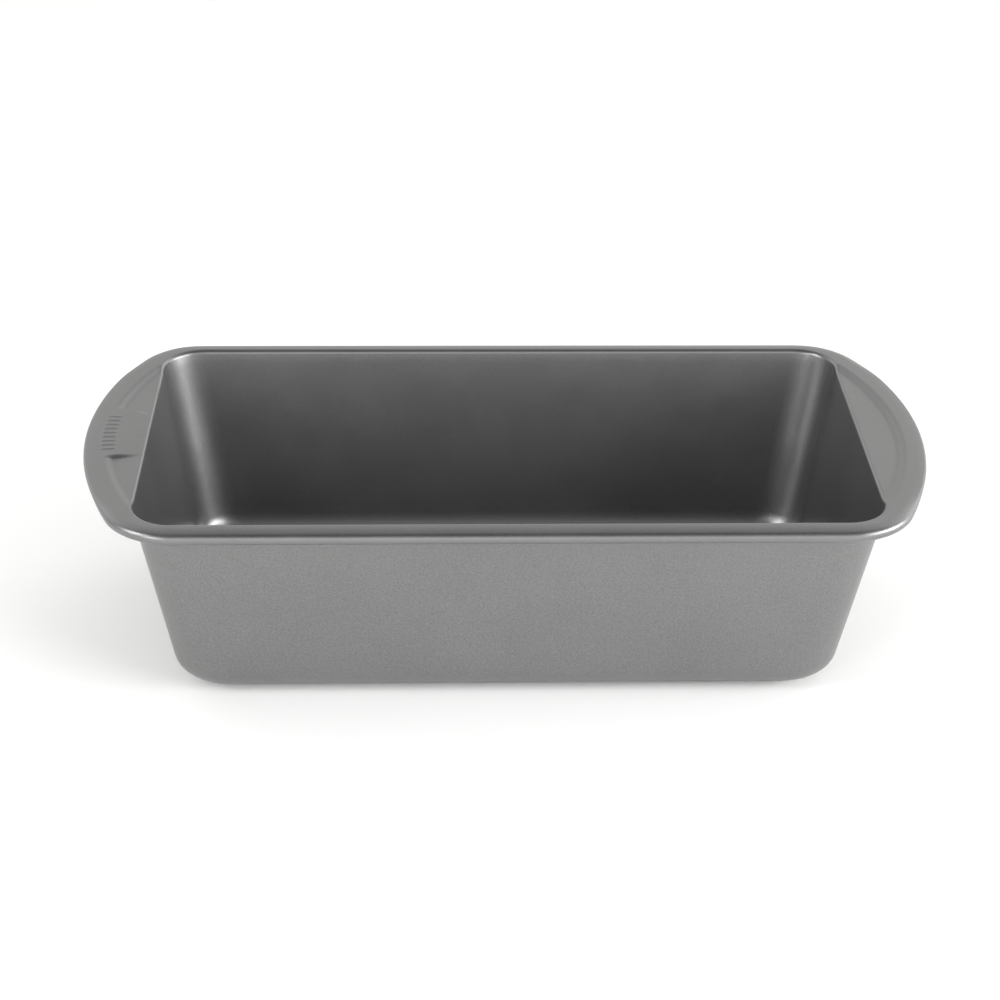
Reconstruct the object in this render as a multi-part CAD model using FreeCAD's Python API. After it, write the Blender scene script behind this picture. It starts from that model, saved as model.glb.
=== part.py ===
import FreeCAD, Part
import math
import os

# Loaf pan of thin coated steel: flat base, drafted walls, rounded rim, a flange that widens
# into an ear handle at each end, and a rolled edge. It is three nested skins: inner coating,
# steel, outer coating. Millimetres, +Z up, +X along the length, origin on the underside of
# the base at its centre. HALF sizes are measured from that centre.

# ---- sheet ----
STEEL = 0.50
COAT = 0.05                  # one coating film
TOTAL = STEEL + 2 * COAT

# ---- bowl: sizes of the food side surface ----
HEIGHT = 70.0                # top of the rim above the table
OPENING_HALF_X = 117.4       # wall line carried up to the rim height
OPENING_HALF_Y = 61.8
OPENING_CORNER_R = 13.5      # vertical corner radius, kept all the way down
DRAFT = math.radians(9.2)
BASE_FILLET_R = 11.4         # between base and wall
RIM_R_SIDE = 1.5             # rim radius along the long sides
RIM_R_END = 1.15             # rim radius at the handles

# ---- outer outline and rolled edge ----
END_ARC_R = 128.9            # outline of a handle end
END_ARC_X = 8.6              # centre of that arc on the length axis
OUTER_CORNER_R = 23.5        # outline corner between handle and long side
OUTER_HALF_Y = 68.45         # over the rolled edge
ROLL_R_SIDE = 2.0            # outside radius of the roll, long sides and corners
ROLL_R_END = 0.80            # the same round the handles, where it is a flatter hem
ROLL_END = math.radians(232.0)      # where the roll stops, measured from straight up
FALL_SIDE = math.radians(18.5)      # outward fall of the flange where it meets the roll
FALL_END = math.radians(5.0)
FALL_LEN_SIDE = 3.9          # length of flange over which the fall builds up
FALL_LEN_END = 2.6           # same, round the ends to the middle of each corner
EDGE_BLEND_Y = 36.0          # roll and fall pass from end to side values from this y
EDGE_BLEND_LEN = 24.0        # over this length

# ---- crescent recess in each handle ----
RECESS_DEPTH = 1.0
RECESS_ARC_R = 106.3         # outer edge of the crescent
RECESS_ARC_X = 23.5          # centre of that arc on the length axis
RECESS_RAMP = 4.2            # width of the ramp down into it
RECESS_TIP_Y = 49.6          # half length of the crescent, tip to tip
TIP_RAMP = 1.8               # ramp width at the tips

# ---- raised plateau left standing in the crescent of the -X handle ----
PAD_X = -129.0               # where the two end positions below are measured
PAD_Y0, PAD_Y1 = -17.9, 18.4
PAD_SLANT_0, PAD_SLANT_1 = 0.27, 0.40    # how far the ends lean in, per mm towards the opening
PAD_RAMP_0, PAD_RAMP_1 = 2.4, 4.2        # width of the ramps at the ends
PAD_FADE_X = 115.5           # distance from the centre where the plateau starts to rise
PAD_FADE_LEN = 13.0          # length of that rise

# ---- perimeter ----
# p runs 0..1 over one quadrant, from the X axis to the Y axis: half an end up to CORNER_START,
# the corner up to CORNER_STOP, then half a long side.
END_LEN = OPENING_HALF_Y - OPENING_CORNER_R
CORNER_LEN = OPENING_CORNER_R * math.pi / 2
SIDE_LEN = OPENING_HALF_X - OPENING_CORNER_R
QUADRANT_LEN = END_LEN + CORNER_LEN + SIDE_LEN
CORNER_START = END_LEN / QUADRANT_LEN
CORNER_STOP = (END_LEN + CORNER_LEN) / QUADRANT_LEN
CORNER_MID = 0.5 * (CORNER_START + CORNER_STOP)
RIM_BLEND_START = 0.9 * CORNER_START

# Outline corner: its centre, and the angle on the end arc where it takes over
OUTER_CORNER_Y = OUTER_HALF_Y - OUTER_CORNER_R
OUTER_CORNER_X = END_ARC_X + math.sqrt((END_ARC_R - OUTER_CORNER_R) ** 2 - OUTER_CORNER_Y ** 2)
HANDLE_ANGLE = math.atan2(OUTER_CORNER_Y, OUTER_CORNER_X - END_ARC_X)
HANDLE_ARC_LEN = END_ARC_R * HANDLE_ANGLE
OUTER_CORNER_LEN = OUTER_CORNER_R * (math.pi / 2 - HANDLE_ANGLE)

# Outline length matched to each stretch of the opening. Along the corner the spacing starts
# and stops at CORNER_PACE times that of the opening, and is wider between.
OUTLINE_END_LEN = END_ARC_R * 0.39       # 0.39 rad of the end arc faces the straight end
OUTLINE_CORNER_LEN = (HANDLE_ARC_LEN - OUTLINE_END_LEN + OUTER_CORNER_LEN
                      + OUTER_CORNER_X - SIDE_LEN)
CORNER_PACE = 1.03
PACE_SWING = OUTLINE_CORNER_LEN - CORNER_PACE * CORNER_LEN


def smooth(t):
    """Soft step from 0 to 1 while t goes from 0 to 1."""
    t = min(1.0, max(0.0, t))
    return t * t * t * (t * (6 * t - 15) + 10)


def blend(start, stop, share):
    return start + (stop - start) * share


def ring(p, inset):
    """Point of the opening's rounded rectangle moved in by inset, first quadrant."""
    # The corner keeps its radius inwards and grows outwards
    radius = OPENING_CORNER_R - min(inset, 0.0)
    centre_x = OPENING_HALF_X - inset - radius
    centre_y = OPENING_HALF_Y - inset - radius
    if p <= CORNER_START:
        return centre_x + radius, centre_y * p / CORNER_START
    if p <= CORNER_STOP:
        angle = (p - CORNER_START) / (CORNER_STOP - CORNER_START) * math.pi / 2
        return centre_x + radius * math.cos(angle), centre_y + radius * math.sin(angle)
    return centre_x * (1 - p) / (1 - CORNER_STOP), centre_y + radius


def arc_point(centre_x, centre_y, radius, angle):
    """Point and outward normal of an arc: x, y, normal x, normal y."""
    nx, ny = math.cos(angle), math.sin(angle)
    return centre_x + radius * nx, centre_y + radius * ny, nx, ny


def outline(p):
    """Point and outward normal of the outer outline, first quadrant."""
    if p > CORNER_STOP:
        return SIDE_LEN * (1 - p) / (1 - CORNER_STOP), OUTER_HALF_Y, 0.0, 1.0
    if p <= CORNER_START:
        length = OUTLINE_END_LEN * p / CORNER_START
    else:
        share = (p - CORNER_START) / (CORNER_STOP - CORNER_START)
        swing = PACE_SWING * math.sin(2 * math.pi * share) / (2 * math.pi)
        length = OUTLINE_END_LEN + OUTLINE_CORNER_LEN * share - swing
    if length < HANDLE_ARC_LEN:
        return arc_point(END_ARC_X, 0.0, END_ARC_R, length / END_ARC_R)
    length -= HANDLE_ARC_LEN
    if length < OUTER_CORNER_LEN:
        angle = HANDLE_ANGLE + length / OUTER_CORNER_R
        return arc_point(OUTER_CORNER_X, OUTER_CORNER_Y, OUTER_CORNER_R, angle)
    return OUTER_CORNER_X - (length - OUTER_CORNER_LEN), OUTER_HALF_Y, 0.0, 1.0


def relief(x, y):
    """Depth of the handle recess below the flange."""
    radius = math.hypot(abs(x) - RECESS_ARC_X, y)
    depth = RECESS_DEPTH * smooth((RECESS_ARC_R - radius) / RECESS_RAMP + 0.5)
    depth *= smooth((RECESS_TIP_Y - abs(y)) / TIP_RAMP + 0.5)
    if x < 0:
        y0 = PAD_Y0 + PAD_SLANT_0 * (x - PAD_X)
        y1 = PAD_Y1 - PAD_SLANT_1 * (x - PAD_X)
        along = smooth((y - y0) / PAD_RAMP_0 + 0.5) * smooth((y1 - y) / PAD_RAMP_1 + 0.5)
        across = smooth((-x - PAD_FADE_X) / PAD_FADE_LEN)
        depth *= 1 - along * across
    return depth


# ---- food side surface, zone by zone ----
# Each zone function takes p, the position t (0..1) along the profile and the signs of the
# quadrant, and returns the point mirrored into the first quadrant.
WALL_BOTTOM_Z = TOTAL + BASE_FILLET_R * (1 - math.sin(DRAFT))
FILLET_INSET = (math.tan(DRAFT) * (HEIGHT - TOTAL - BASE_FILLET_R)
                + BASE_FILLET_R / math.cos(DRAFT))


def rim_inset(radius, drop):
    """Inset of the rim arc's centre where the rim top lies drop below HEIGHT."""
    return math.tan(DRAFT) * (drop + radius) - radius / math.cos(DRAFT)


def rim_arc(p, sign_x, sign_y):
    """Radius, centre inset and centre height of the rim arc."""
    share = smooth((p - RIM_BLEND_START) / (CORNER_STOP - RIM_BLEND_START))
    radius = blend(RIM_R_END, RIM_R_SIDE, share)
    x, y = ring(p, rim_inset(radius, 0.0))
    drop = relief(sign_x * x, sign_y * y)
    return radius, rim_inset(radius, drop), HEIGHT - drop - radius


def base_point(p, t, sign_x, sign_y):
    angle = blend(math.pi / 2, DRAFT, t)
    x, y = ring(p, FILLET_INSET - BASE_FILLET_R * math.cos(angle))
    return x, y, TOTAL + BASE_FILLET_R * (1 - math.sin(angle))


def wall_point(p, t, sign_x, sign_y):
    radius, _, centre_z = rim_arc(p, sign_x, sign_y)
    z = blend(WALL_BOTTOM_Z, centre_z + radius * math.sin(DRAFT), t)
    x, y = ring(p, math.tan(DRAFT) * (HEIGHT - z))
    return x, y, z


def rim_point(p, t, sign_x, sign_y):
    radius, inset, centre_z = rim_arc(p, sign_x, sign_y)
    angle = blend(DRAFT, math.pi / 2, t)
    x, y = ring(p, inset + radius * math.cos(angle))
    return x, y, centre_z + radius * math.sin(angle)


def edge_shape(p):
    """Roll radius and flange fall angle."""
    share = smooth((outline(p)[1] - EDGE_BLEND_Y) / EDGE_BLEND_LEN)
    return blend(ROLL_R_END, ROLL_R_SIDE, share), blend(FALL_END, FALL_SIDE, share)


def flange_line(p, sign_x, sign_y):
    """Where the flange starts and stops in plan, its length and that of its fall."""
    start_x, start_y = ring(p, rim_arc(p, sign_x, sign_y)[1])
    out_x, out_y, nx, ny = outline(p)
    roll_r, fall = edge_shape(p)
    back = roll_r * (1 - math.sin(fall))
    stop_x, stop_y = out_x - nx * back, out_y - ny * back
    run = math.hypot(stop_x - start_x, stop_y - start_y)
    share = smooth((p - CORNER_MID) / (CORNER_STOP - CORNER_MID))
    fall_len = min(blend(FALL_LEN_END, FALL_LEN_SIDE, share), run)
    return (start_x, start_y), (stop_x, stop_y), run, fall_len


def flange_point(p, t, sign_x, sign_y):
    start, stop, run, fall_len = flange_line(p, sign_x, sign_y)
    fall = edge_shape(p)[1]
    x, y = blend(start[0], stop[0], t), blend(start[1], stop[1], t)
    past = max(0.0, t * run - (run - fall_len))
    drop = 0.5 * math.tan(fall) * past * past / fall_len
    return x, y, HEIGHT - drop - relief(sign_x * x, sign_y * y)


def roll_point(p, t, sign_x, sign_y):
    fall_len = flange_line(p, sign_x, sign_y)[3]
    out_x, out_y, nx, ny = outline(p)
    radius, fall = edge_shape(p)
    centre_z = HEIGHT - 0.5 * math.tan(fall) * fall_len - radius * math.cos(fall)
    angle = blend(fall, ROLL_END, t)
    back = radius * (1 - math.sin(angle))
    return out_x - nx * back, out_y - ny * back, centre_z + radius * math.cos(angle)


ZONE_POINT = {"base": base_point, "wall": wall_point, "rim": rim_point,
              "flange": flange_point, "roll": roll_point}


def surface_point(q, zone, t):
    """Point of the food side surface. q counts quadrants round the perimeter from +X."""
    q %= 4
    quadrant = int(q) % 4
    share = q - int(q)
    p = share if quadrant in (0, 2) else 1 - share
    sign_x = 1 if quadrant in (0, 3) else -1
    sign_y = 1 if quadrant in (0, 1) else -1
    x, y, z = ZONE_POINT[zone](p, t, sign_x, sign_y)
    return FreeCAD.Vector(sign_x * x, sign_y * y, z)


def offset_point(q, zone, t, depth):
    """Point at a depth below the food side surface, measured along its normal."""
    point = surface_point(q, zone, t)
    if depth == 0:
        return point
    if zone == "base" and t == 0.0:
        return point - FreeCAD.Vector(0, 0, depth)
    step = 1e-4
    around = surface_point(q + step, zone, t) - surface_point(q - step, zone, t)
    along = (surface_point(q, zone, min(1.0, t + step))
             - surface_point(q, zone, max(0.0, t - step)))
    normal = along.cross(around)
    normal.normalize()
    return point - normal * depth


# ---- patch grid ----
def steps(start, stop, count):
    return [start + (stop - start) * i / float(count) for i in range(count + 1)]


# Profile patches: zone and positions along it. The flange stations crowd towards its edges.
PATCH_ROWS = [
    ("base", steps(0.0, 1.0, 5)),
    ("wall", [0.0, 1.0]),
    ("rim", steps(0.0, 1.0, 4)),
    ("flange", [0.45 * i / 14.0 + 0.55 * (1 - math.cos(math.pi * i / 14.0)) / 2
                for i in range(15)]),
] + [("roll", [(first + i) / 8.0 for i in range(3)]) for first in (0, 2, 4, 6)]

# Perimeter spans: half end, corner and half side, in turn reversed from quadrant to quadrant
SPANS = []
for quadrant in range(4):
    stops, counts = [0, CORNER_START, CORNER_STOP, 1], [30, 16, 1]
    if quadrant % 2:
        stops, counts = [1 - p for p in reversed(stops)], counts[::-1]
    for start, stop, count in zip(stops, stops[1:], counts):
        SPANS.append(steps(quadrant + start, quadrant + stop, count))

PREVIOUS_ZONE = {"wall": "base", "rim": "wall", "flange": "rim", "roll": "flange"}
shared_points = {}


def grid_point(q, zone, t, depth):
    """Offset point; zones meet in the same points, so neighbouring patches share edges."""
    if t == 0.0 and zone in PREVIOUS_ZONE:
        zone, t = PREVIOUS_ZONE[zone], 1.0
    key = (round(q % 4, 9), zone, round(t, 9), depth)
    if key not in shared_points:
        shared_points[key] = offset_point(q, zone, t, depth)
    return shared_points[key]


def fit(points, params):
    """Poles, and (knots, multiplicities, degree), of the curve through the points."""
    if len(points) == 2:
        return points, (params, [2, 2], 1)
    curve = Part.BSplineCurve()
    curve.interpolate(Points=points, Parameters=params)
    return curve.getPoles(), (curve.getKnots(), curve.getMultiplicities(), curve.Degree)


def surface_face(net, around, along):
    """Face from rows of poles and the two curve descriptions given by fit."""
    surface = Part.BSplineSurface()
    surface.buildFromPolesMultsKnots(net, around[1], along[1], around[0], along[0],
                                     False, False, around[2], along[2])
    return surface.toShape()


def patch(qs, zone, ts, depth):
    """Face of one patch, its poles row by row round the perimeter, and their description."""
    columns = []
    for q in qs:
        poles, along = fit([grid_point(q, zone, t, depth) for t in ts], ts)
        columns.append(poles)
    rows = []
    for points in zip(*columns):
        poles, around = fit(list(points), [q * QUADRANT_LEN for q in qs])
        rows.append(poles)
    net = [list(poles) for poles in zip(*rows)]
    return surface_face(net, around, along), rows, around


def curve_edge(poles, around):
    knots, mults, degree = around
    curve = Part.BSplineCurve()
    curve.buildFromPolesMultsKnots(poles, mults, knots, False, degree)
    return curve.toShape()


def sheet(depth):
    """Faces of the whole pan surface at one depth, and the curves of its rolled lip."""
    faces, base_edges, lips = [], [], []
    for qs in SPANS:
        for zone, ts in PATCH_ROWS:
            face, rows, around = patch(qs, zone, ts, depth)
            faces.append(face)
            if zone == "base":
                base_edges.append(curve_edge(rows[0], around))
            if zone == "roll" and ts[-1] == 1.0:
                lips.append((rows[-1], around))
    faces.append(Part.Face(Part.Wire(Part.__sortEdges__(base_edges))))
    return faces, lips


def layer(upper, lower):
    """Closed solid between two sheets, with the cut edge joining their lips."""
    faces = upper[0] + lower[0]
    for (upper_poles, around), (lower_poles, _) in zip(upper[1], lower[1]):
        net = [[a, b] for a, b in zip(upper_poles, lower_poles)]
        faces.append(surface_face(net, around, ([0.0, 1.0], [2, 2], 1)))
    skin = Part.makeCompound(faces)
    skin.sewShape(1e-4)
    solid = Part.Solid(skin.Shells[0])
    if solid.Volume < 0:
        solid.reverse()
    return solid


# One sheet per boundary, from the food side out; each piece fills the gap to the next
SHEETS = [sheet(depth) for depth in (0.0, COAT, COAT + STEEL, TOTAL)]
PIECES = ["interior_nonstick_coating", "steel_pan_body", "exterior_coating"]

os.makedirs("parts", exist_ok=True)
for name, upper, lower in zip(PIECES, SHEETS, SHEETS[1:]):
    layer(upper, lower).exportStep("parts/" + name + ".step")
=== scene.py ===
"""Coated steel loaf pan with a rolled flange that widens into a handle at each end.

The pan is centred on the Z axis and stands on z = 0 with its opening up. Its long side runs
along X, so the handles are at -X and +X; the camera looks from -Y. Pan sizes are in
millimetres and are turned into metres when the meshes are made.
"""
import math

import bmesh
import bpy
import numpy as np
from mathutils import Matrix, Vector


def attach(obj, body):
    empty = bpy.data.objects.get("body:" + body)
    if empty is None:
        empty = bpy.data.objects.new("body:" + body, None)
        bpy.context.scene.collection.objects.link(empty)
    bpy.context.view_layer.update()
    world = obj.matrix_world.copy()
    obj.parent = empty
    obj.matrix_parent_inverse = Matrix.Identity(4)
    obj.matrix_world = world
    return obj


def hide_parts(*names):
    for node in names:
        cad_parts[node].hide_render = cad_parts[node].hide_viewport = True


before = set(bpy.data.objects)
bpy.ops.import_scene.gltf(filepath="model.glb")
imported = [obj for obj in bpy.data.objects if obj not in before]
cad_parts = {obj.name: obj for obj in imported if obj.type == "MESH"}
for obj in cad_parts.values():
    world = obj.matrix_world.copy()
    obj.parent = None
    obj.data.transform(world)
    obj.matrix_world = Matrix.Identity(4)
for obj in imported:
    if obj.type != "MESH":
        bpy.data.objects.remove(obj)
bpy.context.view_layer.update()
MM = 0.001

# ---------------------------------------------------------------- pan dimensions (mm)
HEIGHT = 70.0
STEEL, COAT = 0.50, 0.05
TOTAL = STEEL + 2 * COAT                  # sheet with a coating on both faces

# Opening, where the leaning walls would meet the flange level
OPENING_HALF_X, OPENING_HALF_Y, OPENING_CORNER_R = 117.4, 61.8, 13.5
WALL_LEAN = math.radians(9.2)             # from vertical
LEAN_RATE = math.tan(WALL_LEAN)           # inward shift per unit of depth
BASE_FILLET_R = 11.4
RIM_R_SIDE, RIM_R_END = 1.5, 1.15         # bend from wall to flange

# Outer edge of the flange: an arc at each end, a corner arc and a straight side
END_ARC_R, END_ARC_X = 128.9, 8.6
OUTER_CORNER_R, OUTER_HALF_Y = 23.5, 68.45
OUTER_CORNER_Y = OUTER_HALF_Y - OUTER_CORNER_R
OUTER_CORNER_X = END_ARC_X + math.sqrt((END_ARC_R - OUTER_CORNER_R) ** 2 - OUTER_CORNER_Y ** 2)
END_ARC_ANGLE = math.atan2(OUTER_CORNER_Y, OUTER_CORNER_X - END_ARC_X)

# Rolled edge, and the slope to which the flange falls before it
ROLL_R_SIDE, ROLL_R_END = 2.0, 0.80
ROLL_STOP = math.radians(232.0)           # turned from straight up
ROLL_BLEND_Y, ROLL_BLEND_LEN = 36.0, 24.0  # where the end form turns into the side form
FALL_SIDE_DEG, FALL_END_DEG = 18.5, 5.0
FALL_LEN_SIDE, FALL_LEN_END = 3.9, 2.6

# Finger recess in each handle
RECESS_DEPTH = 1.0
RECESS_ARC_R, RECESS_ARC_X = 106.3, 23.5  # its outer edge
RECESS_RAMP = 4.2
RECESS_TIP_Y, TIP_RAMP = 49.6, 1.8

# Raised plateau in the -X recess; its two edges slant about a line of constant x
PAD_REF_X = -129.0
PAD_FRONT_Y, PAD_FRONT_SLANT, PAD_FRONT_RAMP = -17.9, 0.27, 2.4
PAD_BACK_Y, PAD_BACK_SLANT, PAD_BACK_RAMP = 18.4, 0.40, 4.2
PAD_RISE_X, PAD_RISE_LEN = -115.5, 13.0   # rises outward from here

# Grip ribs on the plateau, centred on the recess edge arc
RIB_COUNT, RIB_PITCH = 9, 2.9
RIB_LEN, RIB_WIDTH, RIB_HEIGHT = 4.6, 1.15, 0.20
RIB_SHIFT = 0.7                           # row moved this far toward -Y
RIB_SPREAD = 1.35                         # foot of a rib, in half widths

# ---------------------------------------------------------------- places round the pan
# A quarter of the perimeter runs from p = 0 (middle of an end) to p = 1 (middle of a side).
# END_P and CORNER_P are where the opening's corner starts and stops.
END_LEN = OPENING_HALF_Y - OPENING_CORNER_R
CORNER_LEN = OPENING_CORNER_R * math.pi / 2
SIDE_LEN = OPENING_HALF_X - OPENING_CORNER_R
QUARTER_LEN = END_LEN + CORNER_LEN + SIDE_LEN
END_P = END_LEN / QUARTER_LEN
CORNER_P = (END_LEN + CORNER_LEN) / QUARTER_LEN

# Outer edge stretch opposite the opening's corner. Its points are eased along it so that
# their spacing at both ends is CORNER_PACE times that of the opening's corner.
CORNER_START_ANGLE = 0.39
CORNER_PACE = 1.03
OUTER_STRETCH = (END_ARC_R * (END_ARC_ANGLE - CORNER_START_ANGLE)
                 + OUTER_CORNER_R * (math.pi / 2 - END_ARC_ANGLE)
                 + (OUTER_CORNER_X - SIDE_LEN))
STRETCH_EASE = OUTER_STRETCH - CORNER_PACE * CORNER_LEN


def smooth(t):
    """Ease from 0 to 1 with flat slope and curvature at both ends."""
    t = np.clip(t, 0.0, 1.0)
    return t * t * t * (t * (6 * t - 15) + 10)


def mix(start, end, t):
    return start + (end - start) * t


def corner_share(p):
    return np.clip((p - END_P) / (CORNER_P - END_P), 0, 1)


def opening_ring(p, inset):
    """Opening outline moved inward; the corner radius only changes when moved outward."""
    radius = OPENING_CORNER_R - np.minimum(inset, 0.0)
    flat_x = OPENING_HALF_X - inset - radius
    flat_y = OPENING_HALF_Y - inset - radius
    angle = corner_share(p) * math.pi / 2
    x = np.where(p <= CORNER_P, flat_x + radius * np.cos(angle),
                 flat_x * (1 - p) / (1 - CORNER_P))
    y = np.where(p <= END_P, flat_y * p / END_P, flat_y + radius * np.sin(angle))
    return x, y


def outer_edge(p):
    """Outer edge of the flange and its outward direction."""
    share = corner_share(p)
    start = END_ARC_R * CORNER_START_ANGLE
    eased = (OUTER_STRETCH * share
             - STRETCH_EASE * np.sin(2 * math.pi * share) / (2 * math.pi))
    length = np.where(p <= END_P, start * p / END_P, start + eased)
    past_end = length - END_ARC_R * END_ARC_ANGLE
    past_corner = past_end - OUTER_CORNER_R * (math.pi / 2 - END_ARC_ANGLE)
    on_end = past_end < 0
    corner_angle = np.clip(END_ARC_ANGLE + past_end / OUTER_CORNER_R, END_ARC_ANGLE, math.pi / 2)
    angle = np.where(on_end, length / END_ARC_R, corner_angle)
    out_x, out_y = np.cos(angle), np.sin(angle)
    x = np.where(on_end, END_ARC_X + END_ARC_R * out_x,
                 OUTER_CORNER_X + OUTER_CORNER_R * out_x - np.maximum(past_corner, 0.0))
    y = np.where(on_end, END_ARC_R * out_y, OUTER_CORNER_Y + OUTER_CORNER_R * out_y)
    x = np.where(p > CORNER_P, SIDE_LEN * (1 - p) / (1 - CORNER_P), x)
    return x, y, out_x, out_y


# ---------------------------------------------------------------- relief of the handles
def rib_height(x, y):
    """Round-ended ribs side by side along an arc; only meant for x < 0."""
    radius = np.hypot(-x - RECESS_ARC_X, y)
    arc = np.arctan2(y, -x - RECESS_ARC_X) * RECESS_ARC_R + RIB_SHIFT
    nearest = np.clip(np.round(arc / RIB_PITCH), -(RIB_COUNT // 2), RIB_COUNT // 2)
    half_width = RIB_WIDTH / 2
    across = (arc - nearest * RIB_PITCH) / half_width
    half_core = (RIB_LEN - RIB_WIDTH) / 2
    along = np.maximum(np.abs(radius - RECESS_ARC_R) - half_core, 0) / half_width
    return RIB_HEIGHT * smooth(RIB_SPREAD - np.hypot(across, along))


def relief(x, y):
    """Depth below the flange: both recesses, less the plateau and ribs at -X."""
    radius = np.hypot(np.abs(x) - RECESS_ARC_X, y)
    depth = RECESS_DEPTH * smooth((RECESS_ARC_R - radius) / RECESS_RAMP + 0.5)
    depth = depth * smooth((RECESS_TIP_Y - np.abs(y)) / TIP_RAMP + 0.5)
    front = PAD_FRONT_Y + PAD_FRONT_SLANT * (x - PAD_REF_X)
    back = PAD_BACK_Y - PAD_BACK_SLANT * (x - PAD_REF_X)
    pad = (smooth((y - front) / PAD_FRONT_RAMP + 0.5)
           * smooth((back - y) / PAD_BACK_RAMP + 0.5)
           * smooth((PAD_RISE_X - x) / PAD_RISE_LEN))
    return np.where(x < 0, depth * (1 - pad) - rib_height(x, y), depth)


# ---------------------------------------------------------------- food side surface
# The profile has five zones from the centre outward, each with t from 0 to 1. Zone
# functions work in the +X +Y quarter; sign_x and sign_y say which quarter is being made.
def bottom_zone(p, zone, t):
    inset = (LEAN_RATE * (HEIGHT - TOTAL - BASE_FILLET_R)
             + BASE_FILLET_R / math.cos(WALL_LEAN))
    if zone == "floor":
        x, y = opening_ring(p, inset)
        return x * t, y * t, np.full_like(p, TOTAL)
    angle = mix(math.pi / 2, WALL_LEAN, t)
    x, y = opening_ring(p, inset - BASE_FILLET_R * math.cos(angle))
    return x, y, np.full_like(p, TOTAL + BASE_FILLET_R * (1 - math.sin(angle)))


def flange_zone(p, sign_x, sign_y, zone, t, inner_x, inner_y):
    """The flange from its inner line to the roll, or the rolled edge itself."""
    edge_x, edge_y, out_x, out_y = outer_edge(p)
    sideness = np.where(p < CORNER_P, smooth((edge_y - ROLL_BLEND_Y) / ROLL_BLEND_LEN), 1.0)
    roll_r = mix(ROLL_R_END, ROLL_R_SIDE, sideness)
    fall = np.radians(mix(FALL_END_DEG, FALL_SIDE_DEG, sideness))
    roll_inset = roll_r * (1 - np.sin(fall))
    run_x = edge_x - out_x * roll_inset - inner_x
    run_y = edge_y - out_y * roll_inset - inner_y
    run = np.hypot(run_x, run_y)
    half_corner = 0.5 * (CORNER_P - END_P)
    past_middle = smooth((p - 0.5 * (END_P + CORNER_P)) / half_corner)
    fall_len = np.minimum(mix(FALL_LEN_END, FALL_LEN_SIDE, past_middle), run)
    if zone == "flange":
        x, y = inner_x + run_x * t, inner_y + run_y * t
        fallen = np.maximum(0.0, t * run - (run - fall_len))
        drop = 0.5 * np.tan(fall) * fallen * fallen / fall_len
        return x, y, HEIGHT - drop - relief(sign_x * x, sign_y * y)
    angle = mix(fall, ROLL_STOP, t)
    reach = roll_r * np.sin(angle) - roll_r
    roll_z = HEIGHT - 0.5 * np.tan(fall) * fall_len - roll_r * np.cos(fall)
    return edge_x + out_x * reach, edge_y + out_y * reach, roll_z + roll_r * np.cos(angle)


def upper_zone(p, sign_x, sign_y, zone, t):
    """Wall, rim bend, flange and roll; the rim is lowered where a recess meets it."""
    sideness = smooth((p - END_P * 0.9) / (CORNER_P - END_P * 0.9))
    rim_r = mix(RIM_R_END, RIM_R_SIDE, sideness)
    level_inset = LEAN_RATE * rim_r - rim_r / math.cos(WALL_LEAN)
    x, y = opening_ring(p, level_inset)
    top = HEIGHT - np.maximum(relief(sign_x * x, sign_y * y), 0.0)
    rim_inset = level_inset + LEAN_RATE * (HEIGHT - top)
    rim_z = top - rim_r
    if zone == "wall":
        wall_foot = TOTAL + BASE_FILLET_R * (1 - math.sin(WALL_LEAN))
        z = mix(wall_foot, rim_z + rim_r * math.sin(WALL_LEAN), t)
        x, y = opening_ring(p, LEAN_RATE * (HEIGHT - z))
        return x, y, z
    if zone == "rim":
        angle = mix(WALL_LEAN, math.pi / 2, t)
        x, y = opening_ring(p, rim_inset + rim_r * math.cos(angle))
        return x, y, rim_z + rim_r * math.sin(angle)
    inner_x, inner_y = opening_ring(p, rim_inset)
    return flange_zone(p, sign_x, sign_y, zone, t, inner_x, inner_y)


def surface(position, zone, t):
    """Points at perimeter positions 0..4, which start at +X and turn toward +Y."""
    position = np.mod(position, 4.0)
    quarter = np.floor(position).astype(int) % 4
    part = position - np.floor(position)
    p = np.where(quarter % 2 == 0, part, 1 - part)
    sign_x = np.where((quarter == 0) | (quarter == 3), 1.0, -1.0)
    sign_y = np.where(quarter < 2, 1.0, -1.0)
    if zone in ("floor", "base"):
        x, y, z = bottom_zone(p, zone, t)
    else:
        x, y, z = upper_zone(p, sign_x, sign_y, zone, t)
    return np.stack([sign_x * x, sign_y * y, z], -1)


def normals(position, zone, t):
    if zone == "floor" or (zone == "base" and t == 0.0):
        return np.tile([0.0, 0.0, 1.0], (len(position), 1))
    step = 1e-4
    around = surface(position + step, zone, t) - surface(position - step, zone, t)
    outward = surface(position, zone, min(1.0, t + step)) - surface(
        position, zone, max(0.0, t - step))
    normal = np.cross(outward, around)
    return normal / np.linalg.norm(normal, axis=1)[:, None]


# ---------------------------------------------------------------- mesh grid
FINE_HALF_Y = 20.0                        # finely divided middle of each end
FINE_STEPS_RIBBED, FINE_STEPS_PLAIN = 62, 16
END_STEPS, CORNER_STEPS, SIDE_STEPS = 26, 30, 26
FLOOR_ROWS = [0.18, 0.36, 0.54, 0.7, 0.84, 0.94]  # share of the way to the base fillet


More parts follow.
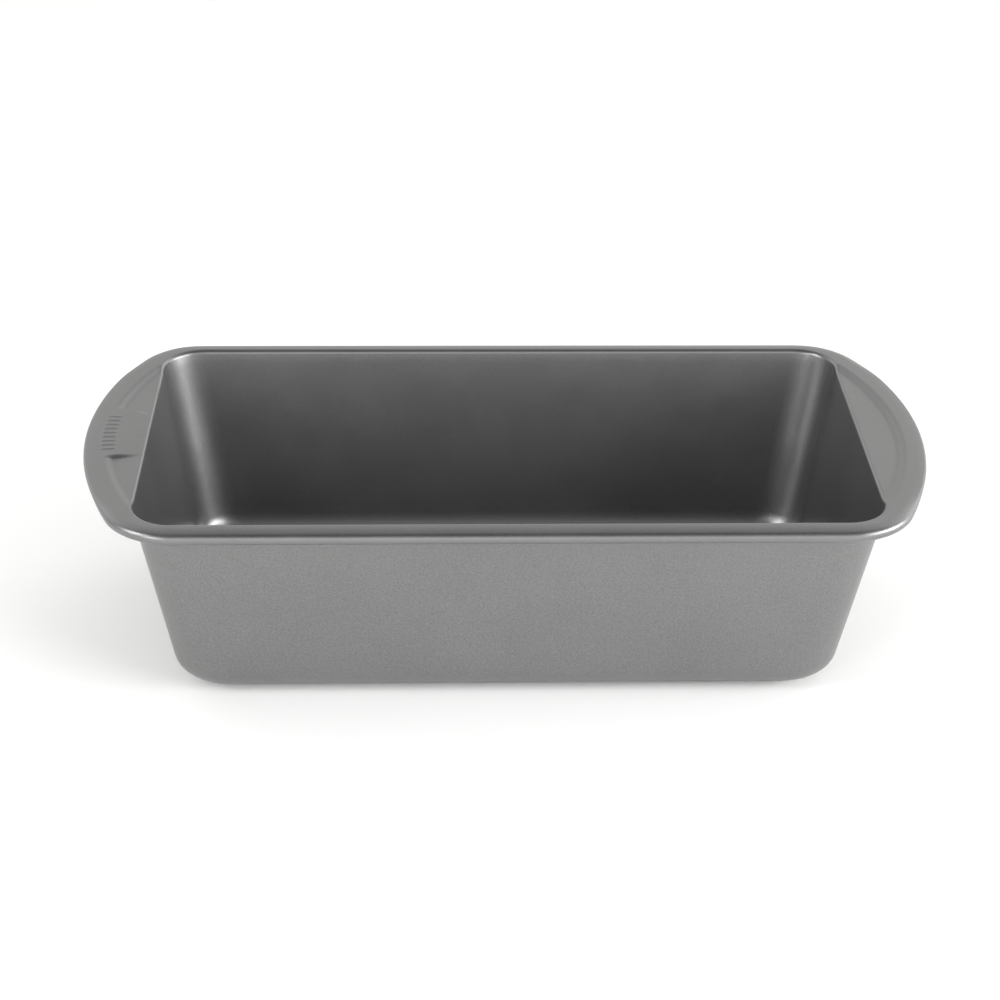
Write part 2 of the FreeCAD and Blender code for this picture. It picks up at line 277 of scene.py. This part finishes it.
def stations():
    """Perimeter positions of the grid's columns."""
    fine_p = FINE_HALF_Y / END_LEN * END_P
    positions = []
    for quarter in range(4):
        fine_steps = FINE_STEPS_RIBBED if quarter in (1, 2) else FINE_STEPS_PLAIN
        p = np.concatenate([
            np.linspace(0, fine_p, fine_steps, endpoint=False),
            np.linspace(fine_p, END_P, END_STEPS, endpoint=False),
            np.linspace(END_P, CORNER_P, CORNER_STEPS, endpoint=False),
            np.linspace(CORNER_P, 1.0, SIDE_STEPS, endpoint=False)])
        if quarter % 2:
            p = 1 - np.append(p[1:], 1.0)[::-1]
        positions.append(quarter + p)
    return np.concatenate(positions)


def profile_rows():
    """(zone, t) of the grid's rows, from the floor outward."""
    def steps(count):
        return np.linspace(0, 1, count + 1)[1:]

    zones = (
        ("floor", FLOOR_ROWS),
        ("base", np.linspace(0, 1, 13)),
        ("wall", steps(18)),
        ("rim", steps(10)),
        # rows gather toward both edges of the flange
        ("flange", [0.70 * t + 0.30 * (1 - math.cos(math.pi * t)) / 2 for t in steps(56)]),
        ("roll", steps(22)),
    )
    return [(zone, t) for zone, values in zones for t in values]


STATIONS, ROWS = stations(), profile_rows()
FOOD_SIDE = np.array([surface(STATIONS, zone, t) for zone, t in ROWS])
FOOD_NORMALS = np.array([normals(STATIONS, zone, t) for zone, t in ROWS])


def build_layer(name, upper_depth, lower_depth, material):
    """Closed shell of the pan between two depths below the food side surface."""
    layers = [(FOOD_SIDE - FOOD_NORMALS * depth).reshape(-1, 3)
              for depth in (upper_depth, lower_depth)]
    here = np.arange(len(layers[0])).reshape(len(ROWS), len(STATIONS))
    beside = np.roll(here, -1, axis=1)
    lower = here.size
    quads = np.stack([here[:-1], beside[:-1], beside[1:], here[1:]], -1).reshape(-1, 4)
    lip = np.stack([here[-1], beside[-1], beside[-1] + lower, here[-1] + lower], -1)
    faces = np.concatenate([quads, (quads + lower)[:, ::-1], lip]).tolist()
    faces.append(here[0].tolist()[::-1])  # the middle of the floor, on each layer
    faces.append((here[0] + lower).tolist())

    mesh = bpy.data.meshes.new(name)
    mesh.from_pydata((np.concatenate(layers) * MM).tolist(), [], faces)
    mesh.validate()
    mesh.update()
    piece = bpy.data.objects.new(name, mesh)
    bpy.context.scene.collection.objects.link(piece)
    bm = bmesh.new()
    bm.from_mesh(mesh)
    bmesh.ops.recalc_face_normals(bm, faces=bm.faces)
    bm.to_mesh(mesh)
    bm.free()
    mesh.materials.append(material)
    for polygon in mesh.polygons:
        polygon.use_smooth = True
    mesh.set_sharp_from_angle(angle=math.radians(50))
    return piece


# ---------------------------------------------------------------- materials
def add_node(tree, kind, inputs, **settings):
    """New shader node; each input is given a value, or a socket to link from."""
    node = tree.nodes.new("ShaderNode" + kind)
    for key, value in settings.items():
        setattr(node, key, value)
    for key, value in inputs.items():
        if isinstance(value, bpy.types.NodeSocket):
            tree.links.new(value, node.inputs[key])
        else:
            node.inputs[key].default_value = value
    return node


def principled_material(name, make_inputs):
    """Material of one Principled shader; make_inputs(tree) gives its inputs."""
    material = bpy.data.materials.new(name)
    material.use_nodes = True
    tree = material.node_tree
    tree.nodes.clear()
    shader = add_node(tree, "BsdfPrincipled", make_inputs(tree))
    add_node(tree, "OutputMaterial", {"Surface": shader.outputs["BSDF"]})
    return material


def coating(name, tone, roughness, flake, diffuse, tint=(1.0, 1.0, 1.0)):
    """Satin metallic bakeware coating: fine flake, soft mottling, light orange peel."""
    def make_inputs(tree):
        coords = add_node(tree, "TexCoord", {}).outputs["Object"]

        def noise(scale, detail, roughness, seed):
            return add_node(tree, "TexNoise", {
                "Scale": scale, "Detail": detail, "Roughness": roughness, "W": seed,
                "Vector": coords}, noise_dimensions="4D").outputs["Fac"]

        def remap(source, low, high):
            """Stretch the middle of a noise's range to low..high."""
            return add_node(tree, "MapRange", {
                "From Min": 0.3, "From Max": 0.7, "To Min": low, "To Max": high,
                "Value": source}).outputs["Result"]

        def bump(height, strength, distance, **below):
            return add_node(tree, "Bump", {
                "Strength": strength, "Distance": distance, "Height": height,
                **below}).outputs["Normal"]

        flakes = noise(scale=1900.0, detail=2.0, roughness=0.6, seed=1.0)
        fine_flakes = noise(scale=5200.0, detail=1.0, roughness=0.5, seed=2.0)
        mottle = noise(scale=42.0, detail=3.0, roughness=0.55, seed=3.0)
        cloud = noise(scale=9.0, detail=2.0, roughness=0.5, seed=4.0)
        peel = noise(scale=420.0, detail=2.0, roughness=0.5, seed=6.0)

        # each noise varies the brightness by this much either way
        brightness = remap(flakes, 1 - 0.16 * flake, 1 + 0.16 * flake)
        for source, swing in ((fine_flakes, 0.07 * flake), (mottle, 0.03), (cloud, 0.025)):
            brightness = add_node(tree, "Math", {
                0: brightness, 1: remap(source, 1 - swing, 1 + swing)},
                operation="MULTIPLY").outputs[0]
        color = add_node(tree, "VectorMath", {
            0: tuple(tone * channel for channel in tint), "Scale": brightness},
            operation="SCALE")
        rough = add_node(tree, "Math", {
            0: remap(mottle, roughness - 0.02, roughness + 0.02),
            1: remap(flakes, -0.03, 0.03)}, operation="ADD")
        flake_bump = bump(flakes, strength=0.35 * flake, distance=0.00006)
        return {
            "Base Color": color.outputs["Vector"],
            "Metallic": 1.0 - diffuse,
            "Roughness": rough.outputs[0],
            "Normal": bump(peel, strength=0.25 * flake, distance=0.00010, Normal=flake_bump)}

    return principled_material(name, make_inputs)


def bare_steel_inputs(tree):
    """Rolled sheet with a grain drawn out along X."""
    coords = add_node(tree, "TexCoord", {}).outputs["Object"]
    grain_space = add_node(tree, "Mapping", {"Scale": (60.0, 900.0, 900.0), "Vector": coords})
    grain = add_node(tree, "TexNoise", {
        "Scale": 3.0, "Detail": 4.0, "Vector": grain_space.outputs["Vector"]}).outputs["Fac"]
    ramp = add_node(tree, "ValToRGB", {"Fac": grain})
    ramp.color_ramp.elements[0].color = (0.36, 0.36, 0.37, 1)
    ramp.color_ramp.elements[1].color = (0.52, 0.52, 0.54, 1)
    rough = add_node(tree, "MapRange", {"To Min": 0.30, "To Max": 0.45, "Value": grain})
    bump = add_node(tree, "Bump", {"Strength": 0.3, "Distance": 0.00003, "Height": grain})
    return {
        "Base Color": ramp.outputs["Color"],
        "Metallic": 1.0,
        "Roughness": rough.outputs["Result"],
        "Normal": bump.outputs["Normal"]}


food_coating = coating("food_side_nonstick", tone=0.222, roughness=0.34, flake=0.45,
                       diffuse=0.12, tint=(0.997, 0.995, 1.012))
outer_coating = coating("outer_coating", tone=0.222, roughness=0.34, flake=1.0, diffuse=0.15)
steel = principled_material("cold_rolled_steel", bare_steel_inputs)

# ---------------------------------------------------------------- the three layers
# name, upper and lower depth, material, CAD piece, material slot
LAYERS = (
    ("food_side_coating", 0.0, COAT, food_coating,
     "interior_nonstick_coating", "nonstick_dark_grey"),
    ("steel_sheet", COAT, COAT + STEEL, steel,
     "steel_pan_body", "carbon_steel"),
    ("outside_coating", COAT + STEEL, TOTAL, outer_coating,
     "exterior_coating", "coated_underside"),
)
for name, upper_depth, lower_depth, material, cad_name, slot in LAYERS:
    piece = build_layer(name, upper_depth, lower_depth, material)
    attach(piece, "root")
    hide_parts(cad_name)
    cad_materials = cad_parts[cad_name].data.materials
    cad_materials.clear()
    cad_materials.append(material)


# ---------------------------------------------------------------- studio floor (metres)
def build_floor():
    mesh = bpy.data.meshes.new("floor")
    bm = bmesh.new()
    bmesh.ops.create_circle(bm, cap_ends=True, cap_tris=True, segments=128, radius=1.7)
    bm.to_mesh(mesh)
    bm.free()
    disc = bpy.data.objects.new("floor", mesh)
    disc.location = (0, 0, -0.0002)       # just clear of the pan's underside
    bpy.context.scene.collection.objects.link(disc)
    mesh.materials.append(principled_material("studio_floor", lambda tree: {
        "Base Color": (0.9, 0.9, 0.9, 1), "Roughness": 0.9, "Specular IOR Level": 0.0}))


build_floor()


# ---------------------------------------------------------------- lights
def direction(elevation, azimuth):
    """Unit vector from degrees; azimuth turns from +X toward +Y."""
    elevation, azimuth = math.radians(elevation), math.radians(azimuth)
    return (math.cos(elevation) * math.cos(azimuth),
            math.cos(elevation) * math.sin(azimuth), math.sin(elevation))


def area_light(name, location, target, size, power, glossy=True):
    data = bpy.data.lights.new(name, "AREA")
    data.shape = "RECTANGLE"
    data.size = data.size_y = size
    data.energy = power
    light = bpy.data.objects.new(name, data)
    light.location = location
    aim = Vector(target) - Vector(location)
    light.rotation_euler = aim.to_track_quat("-Z", "Y").to_euler()
    light.visible_glossy = glossy
    bpy.context.scene.collection.objects.link(light)


area_light("fill_top", location=(0, 0, 3.0), target=(0, 0, 0), size=4.0, power=30.7,
           glossy=False)

# Low soft boxes round the left and right of the front: elevation, azimuth, power
SOFT_BOXES = [
    (20, 190, 1.5), (20, 205, 4.5), (20, 235, 6.0), (38, 205, 7.2),
    (16, -4, 9.0), (16, -20, 14.0), (20, -40, 8.0), (38, -38, 1.5),
]
BOX_DISTANCE, BOX_TARGET_Z = 1.7, 0.05
for index, (elevation, azimuth, power) in enumerate(SOFT_BOXES):
    x, y, z = (BOX_DISTANCE * part for part in direction(elevation, azimuth))
    area_light("soft_box_%d" % index, location=(x, y, z + BOX_TARGET_Z),
               target=(0, 0, BOX_TARGET_Z), size=0.5, power=power)

# ---------------------------------------------------------------- world
# Broad glows, dark overhead: elevation, azimuth, strength
GLOW_SHARPNESS = 12.0
GLOWS = [
    (6, 0, 0.58), (6, 30, 0.98), (6, 60, 0.76), (6, 90, 0.34), (6, 120, 0.56), (6, 150, 0.48),
    (6, 210, 0.11), (6, 240, 0.75), (6, 270, 1.34), (6, 300, 0.85), (6, 330, 0.35),
    (26, 36, 1.16), (26, 72, 0.31), (26, 108, 0.41), (26, 144, 0.78),
    (26, 252, 0.32), (26, 288, 0.27), (26, 324, 0.02),
    (46, 45, 0.58), (46, 90, 0.15), (46, 135, 0.62), (67, 72, 0.02),
]


def build_world():
    """Sum of the glows for lighting; plain white where the camera sees it directly."""
    world = bpy.data.worlds.new("studio")
    bpy.context.scene.world = world
    world.use_nodes = True
    tree = world.node_tree
    tree.nodes.clear()
    coords = add_node(tree, "TexCoord", {}).outputs["Generated"]
    ray = add_node(tree, "VectorMath", {0: coords}, operation="NORMALIZE").outputs["Vector"]
    total = 0.0
    for elevation, azimuth, strength in GLOWS:
        # strength * exp(sharpness * (cosine to the glow's centre - 1))
        cosine = add_node(tree, "VectorMath", {0: ray, 1: direction(elevation, azimuth)},
                          operation="DOT_PRODUCT").outputs["Value"]
        exponent = add_node(tree, "Math", {0: cosine, 1: GLOW_SHARPNESS, 2: -GLOW_SHARPNESS},
                            operation="MULTIPLY_ADD").outputs[0]
        glow = add_node(tree, "Math", {0: exponent}, operation="EXPONENT").outputs[0]
        total = add_node(tree, "Math", {0: glow, 1: strength, 2: total},
                         operation="MULTIPLY_ADD").outputs[0]
    warm = add_node(tree, "VectorMath", {0: (1.0, 1.0, 0.975), "Scale": total},
                    operation="SCALE").outputs["Vector"]
    camera_ray = add_node(tree, "LightPath", {}).outputs["Is Camera Ray"]
    # sockets 6 and 7 are the two colours of a Mix node, output 2 the mixed colour
    color = add_node(tree, "Mix", {"Factor": camera_ray, 6: warm, 7: (1.0, 1.0, 1.0, 1.0)},
                     data_type="RGBA").outputs[2]
    background = add_node(tree, "Background", {"Color": color, "Strength": 1.0})
    add_node(tree, "OutputWorld", {"Surface": background.outputs["Background"]})


build_world()


# ---------------------------------------------------------------- camera
def build_camera():
    data = bpy.data.cameras.new("camera")
    data.lens = 81.918
    data.sensor_width = 36.0
    data.shift_y = -0.010571
    data.clip_start, data.clip_end = 0.05, 50.0
    camera = bpy.data.objects.new("camera", data)
    forward = Vector((0.032036, 0.876534, -0.480272)).normalized()
    up = Vector((0.003223, 0.480426, 0.877029)).normalized()
    right = forward.cross(up).normalized()
    up = right.cross(forward)             # squared to the view direction
    pose = Matrix((right, up, -forward)).transposed().to_4x4()
    pose.translation = Vector((-0.025889, -0.667447, 0.413419))
    camera.matrix_world = pose
    bpy.context.scene.collection.objects.link(camera)
    bpy.context.scene.camera = camera


build_camera()
bpy.context.scene.view_settings.view_transform = "Standard"
bpy.context.scene.view_settings.look = "None"
